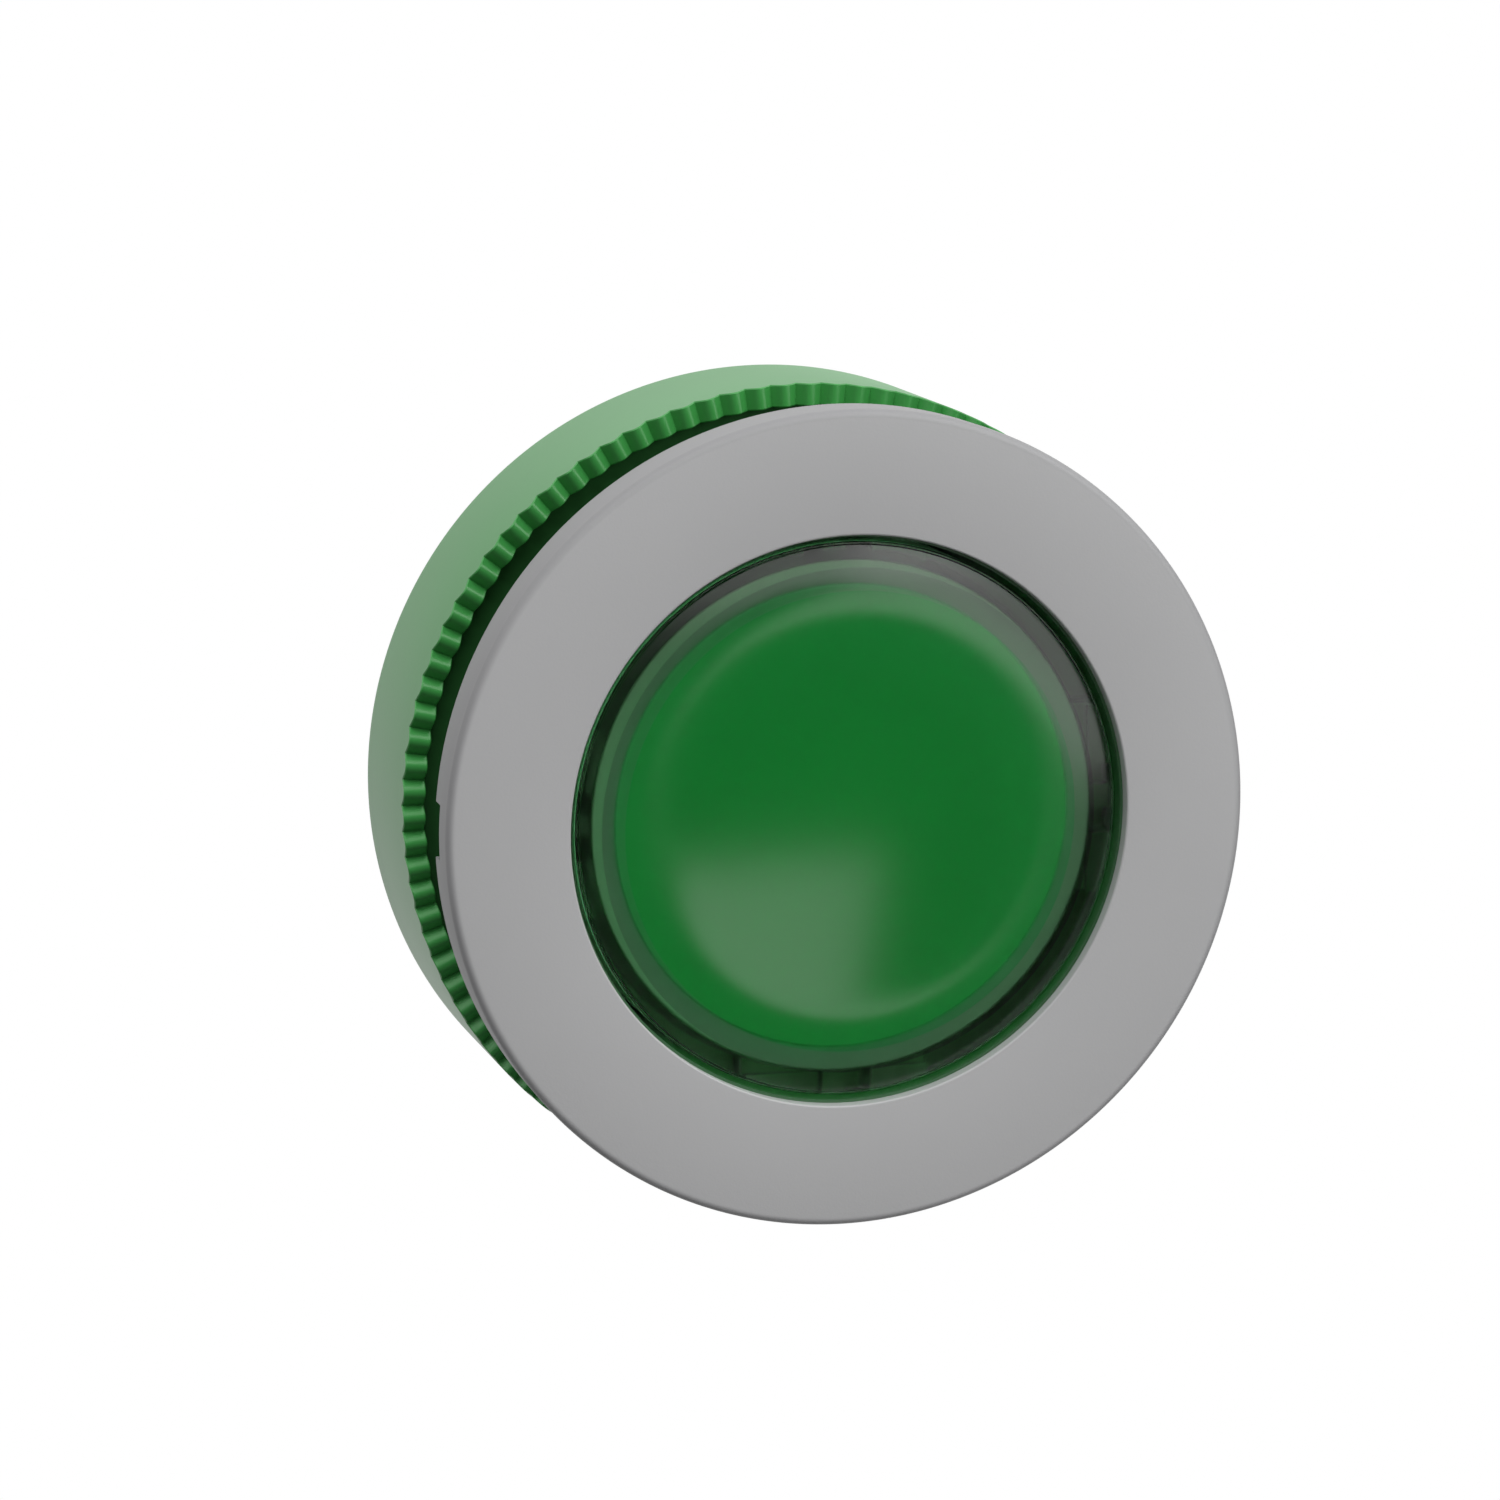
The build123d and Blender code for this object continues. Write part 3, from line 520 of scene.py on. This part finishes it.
# The dish is drawn by its tilt in degrees at these radii, smoothed by a running mean and summed.
dish_places = [0, 2, 4, 6, 7, 7.5, 8.2, 8.6, 9.0, 9.3, 9.6, 9.9, 10.2, 10.5, 11.4, 12.4]
dish_tilts = [0, 2.9, 6.0, 9.3, 11.2, 12.4, 9.7, 6.3, 2.8, 0.5, -1.5, -3.5, -6.2, -10.2, -16, -18.5]
dish_edge = dish_places[-1]
dish_fine = np.linspace(0, dish_edge, 497)
dish_tilt = np.interp(dish_fine, dish_places, dish_tilts)
dish_tilt[8:-8] = np.convolve(dish_tilt, np.ones(17) / 17, "valid")
dish_rise = np.cumsum(np.tan(np.radians(dish_tilt))) * dish_fine[1]
dish_steps = np.concatenate([np.linspace(0, 6, 17), np.linspace(6.2, dish_edge, 63)])
dish_line = lens_top + np.interp(dish_steps, dish_fine, dish_rise[-1] - dish_rise)
dish = np.stack([dish_steps, dish_line], axis=-1)
lens_side = outline(
    (lens_radius, lens_top + 0.06, 0.1),
    (lens_radius, lens_back, 0.15),
    (skirt_radius, lens_back, 0.15),
    (skirt_radius, barb_front + 0.75, 0),
    (barb_radius, barb_front + 0.25, 0.05),
    (barb_radius, barb_front, 0.05),
    (skirt_radius, barb_front, 0),
    (skirt_radius, lens_ceiling, 0.1),
    (0, lens_ceiling, 0),
)
lens = turned("lens_cap_moulded", np.concatenate([dish, lens_side]), columns=256)
lens_cuts = []
for quarter in (90.0, 180.0, 270.0, 360.0):
    for slot in slot_limits:
        lens_cuts += [
            bar("slot", (skirt_radius, past_edge), (slot_front, slot_back), slot, quarter),
            bar("slot", (slot_inner, past_edge), (finger_front, past_back), slot, quarter),
        ]
    lens_cuts += [
        bar("window", (window_inner, past_edge), (window_front, gap_front), window_limits, quarter),
        bar("between", (gap_start, past_edge), (gap_front, past_back), (gap_start, past_edge), quarter),
    ]
carve(lens, lens_cuts)
dress(lens, "button", ["lens_cap"], green_lens)


# Diffuser. Opal plastic disc that lies in the carrier's seat, close under the lens. It spreads
# the lamp's light and gives the pad its colour.
def mottled_look(name, roughness, scale, dark, light, grain_scale=0.0, grain_depth=0.0, metallic=0.0):
    """Material that drifts between two close shades, with a fine bump where a grain is given."""
    look, tree, shader, place = surface_look(name, roughness, metallic)
    tree.links.new(mottle(tree, place, scale, dark, light), shader.inputs["Base Color"])
    if grain_scale:
        tree.links.new(grain(tree, place, grain_scale, grain_depth), shader.inputs["Normal"])
    return look


diffuser_radius = 10.4
diffuser_front = -1.17
diffuser_back = 1.0
opal_plastic = mottled_look("opal_plastic", 0.5, 200.0, (0.78, 0.8, 0.78), (0.82, 0.84, 0.81))
diffuser = turned("diffuser_disc", outline(
    (0, diffuser_back, 0),
    (diffuser_radius, diffuser_back, 0.15),
    (diffuser_radius, diffuser_front, 0.03),
    (0, diffuser_front, 0),
))
dress(diffuser, "button", ["diffuser"], opal_plastic)


# Lens carrier. White tube that slides in the barrel: its flange holds the diffuser and snaps
# into the lens, and a groove at its tail takes the retaining clip.
white_plastic = mottled_look(
    "white_plastic", 0.5, 150.0, (0.6, 0.61, 0.59), (0.66, 0.67, 0.65), 6000.0, 0.000004
)
tube_bore = 7.8
tube_radius = 9.0
tube_back = 13.3
seat_radius = 10.42
seat_depth = 1.05
carrier_flange_radius = 11.38
carrier_flange_front = -1.15
carrier_flange_back = 2.5
groove_radius = 8.5
groove_front = 11.65
groove_back = 12.35
lens_carrier = turned("lens_carrier_moulded", outline(
    (tube_bore, seat_depth, 0.5),
    (seat_radius, seat_depth, 0),
    (seat_radius, carrier_flange_front, 0),
    (carrier_flange_radius, carrier_flange_front, 0.05),
    (carrier_flange_radius, carrier_flange_back, 0.1),
    (tube_radius, carrier_flange_back, 0.3),
    (tube_radius, groove_front, 0),
    (groove_radius, groove_front, 0),
    (groove_radius, groove_back, 0),
    (tube_radius, groove_back, 0),
    (tube_radius, tube_back, 0.3),
    (tube_bore, tube_back, 0.1),
))
dress(lens_carrier, "button", ["lens_carrier"], white_plastic)


# Barrel. Moulded from the nut's green nylon, with its flange, thread and bayonet in one piece.
# Its bore lies in the dark under the bezel's lip, so painted shade darkens it there.
def finish_nodes(look, *names):
    """Gives one material to CAD nodes that keep their shape."""
    for name in names:
        slots = cad[name].data.materials
        slots.clear()
        slots.append(look)


# The bore inside the lip is painted a darker green, as painted shade.
barrel_nylon = green_nylon("barrel_nylon", 0.35, 13.35, 13.2, (0.036, 0.1, 0.043))
finish_nodes(barrel_nylon, "barrel")


# Seals. Black nitrile rubber: the panel gasket behind the flange, the lip seal round the
# pusher and the ring seal on the contact unit's spigot.
black_rubber = mottled_look(
    "black_rubber", 0.7, 300.0, (0.016, 0.016, 0.017), (0.026, 0.026, 0.027), 5000.0, 0.000008
)
finish_nodes(black_rubber, "panel_gasket", "pusher_seal", "housing_seal")


# Contact unit. Black spark-eroded moulding behind the barrel, closed by a ribbed plate; the
# yoke that carries the contact bridges inside it is ivory.
black_plastic = mottled_look(
    "black_plastic", 0.48, 180.0, (0.026, 0.026, 0.028), (0.038, 0.038, 0.04), 4500.0, 0.000012
)
finish_nodes(black_plastic, "contact_housing", "terminal_plate")
ivory_plastic = mottled_look("ivory_plastic", 0.45, 180.0, (0.52, 0.47, 0.35), (0.58, 0.53, 0.41))
finish_nodes(ivory_plastic, "contact_yoke")


# Springs. Drawn steel wire, wound with closed ends. Each contact spring lies between its bridge
# and the window of the yoke. The washer and the retaining clip are pressed from strip of the
# same steel.
def wound(name, wire_thickness, radius, turns, front, back, centre=0.0, closed=0.7, sides=12):
    """Tube along a helix about the line through centre, whose end turns lie close: the path is
    (centre + r cos a, y, r sin a), and y runs fast in the middle and slowly in the end turns."""
    steps_per_turn = 48
    winding = np.linspace(0, turns, int(turns * steps_per_turn))
    end_pitch = wire_thickness * 1.04
    middle_pitch = (back - front - wire_thickness - 2 * closed * end_pitch) / (turns - 2 * closed)
    in_middle = np.clip(np.minimum(winding - closed, turns - closed - winding) / 0.2 + 0.5, 0, 1)
    pitch = end_pitch + (middle_pitch - end_pitch) * in_middle
    along = np.concatenate([[0], np.cumsum((pitch[1:] + pitch[:-1]) / 2 * np.diff(winding))])
    depth = front + wire_thickness / 2 + along * (back - front - wire_thickness) / along[-1]
    angle = winding * 2 * pi
    path = np.stack([centre + radius * np.cos(angle), depth, radius * np.sin(angle)], axis=-1)
    ahead = np.gradient(path, axis=0)
    ahead /= np.linalg.norm(ahead, axis=1, keepdims=True)
    outward = np.stack([np.cos(angle), 0 * angle, np.sin(angle)], axis=-1)
    outward -= (outward * ahead).sum(axis=1, keepdims=True) * ahead
    outward /= np.linalg.norm(outward, axis=1, keepdims=True)
    upward = np.cross(ahead, outward)
    around = np.arange(sides)[None, :, None] * 2 * pi / sides
    spokes = np.cos(around) * outward[:, None] + np.sin(around) * upward[:, None]
    rings = path[:, None] + wire_thickness / 2 * spokes
    rings = np.concatenate([np.repeat(path[:1, None], sides, 1), rings, np.repeat(path[-1:, None], sides, 1)])
    faces = grid_faces(len(rings), sides)[: (len(rings) - 1) * sides]
    return mesh_of(name, rings, faces)


spring_steel = mottled_look(
    "spring_steel", 0.28, 600.0, (0.42, 0.42, 0.43), (0.52, 0.52, 0.53), metallic=1.0
)
finish_nodes(spring_steel, "spring_washer", "retaining_clip")
return_wire = {"wire_thickness": 0.55, "radius": 10.0}
return_spring = wound("return_spring_wound", turns=4.5, front=2.52, back=8.58, **return_wire)
dress(return_spring, "housing", ["return_spring"], spring_steel)
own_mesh(return_spring)
contact_wire = {"wire_thickness": 0.2, "radius": 0.55, "closed": 0.5, "sides": 8}
for side, middle, near_body, far_body, turns, front, back in (
    ("no", 8.4, "button", "bridge_no", 5.0, 15.44, 20.96),
    ("nc", -8.4, "bridge_nc", "button", 3.0, 19.66, 21.46),
):
    wound_name = "contact_spring_" + side + "_wound"
    contact_spring = wound(wound_name, turns=turns, front=front, back=back, centre=middle, **contact_wire)
    smooth(contact_spring)
    contact_spring.data.materials.append(spring_steel)
    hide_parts("contact_spring_" + side)
    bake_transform(contact_spring)


# Plate screws. Two zinc-plated steel screws with slotted heads, which hold the terminal plate
# on the contact unit's housing.
zinc_screw = mottled_look(
    "zinc_screw", 0.32, 500.0, (0.5, 0.5, 0.47), (0.6, 0.6, 0.58), 3000.0, 0.000006, metallic=1.0
)
finish_nodes(zinc_screw, "plate_screws")


# Lamp. A light-emitting diode in clear domed resin on a round circuit board, which a white
# post holds under the diffuser.
finish_nodes(white_plastic, "lamp_post")
circuit_board = mottled_look("circuit_board", 0.35, 900.0, (0.015, 0.1, 0.04), (0.03, 0.16, 0.07))
finish_nodes(circuit_board, "lamp_board")
led_resin = mottled_look("led_resin", 0.12, 400.0, (0.7, 0.8, 0.68), (0.78, 0.86, 0.76))
finish_nodes(led_resin, "lamp_led")


# Contacts. Tinned brass strips, which end in the terminal tabs, and copper bridges that close
# the gap between them.
tinned_brass = mottled_look(
    "tinned_brass", 0.3, 700.0, (0.42, 0.41, 0.38), (0.52, 0.51, 0.49), 4000.0, 0.000005, metallic=1.0
)
finish_nodes(
    tinned_brass,
    "lamp_tab_lower",
    "lamp_tab_upper",
    "fixed_contact_no_lower",
    "fixed_contact_no_upper",
    "fixed_contact_nc_lower",
    "fixed_contact_nc_upper",
)
bridge_copper = mottled_look(
    "bridge_copper", 0.3, 600.0, (0.6, 0.33, 0.2), (0.68, 0.4, 0.25), metallic=1.0
)
finish_nodes(bridge_copper, "contact_bridge_no", "contact_bridge_nc")
